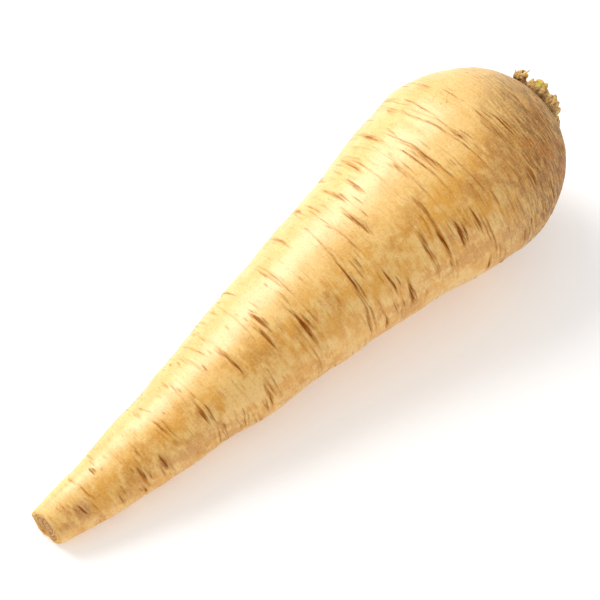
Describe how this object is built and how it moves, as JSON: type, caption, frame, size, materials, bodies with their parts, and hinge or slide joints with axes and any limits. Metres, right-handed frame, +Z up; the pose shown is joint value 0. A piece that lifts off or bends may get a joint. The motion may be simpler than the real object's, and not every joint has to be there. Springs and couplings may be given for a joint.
{
  "type": "parsnip",
  "caption": "Topped and tailed root vegetable lying on its side: a long tapering taproot with a broad rounded shoulder, a cut tip and dried leaf-stalk stubs in the crown's dish.",
  "frame": {"origin": "on the surface that the root lies on, under the middle of its bounding box", "axes": "+X along the root, from the cut tip to the crown; +Z up"},
  "size_m": [0.2014, 0.0628, 0.061],
  "materials": {
    "root_skin": "satin",
    "dry_stalk": "matte",
    "green_shoot": "matte"
  },
  "bodies": {
    "root": {"taproot": "root_skin", "outer_stalk_stub_1": "dry_stalk", "outer_stalk_stub_2": "dry_stalk", "outer_stalk_stub_3": "dry_stalk", "outer_stalk_stub_4": "dry_stalk", "outer_stalk_stub_5": "dry_stalk", "outer_stalk_stub_6": "dry_stalk", "outer_stalk_stub_7": "dry_stalk", "inner_stalk_stub_1": "dry_stalk", "inner_stalk_stub_2": "dry_stalk", "inner_stalk_stub_3": "dry_stalk", "green_shoot": "green_shoot"}
  },
  "joints": []
}
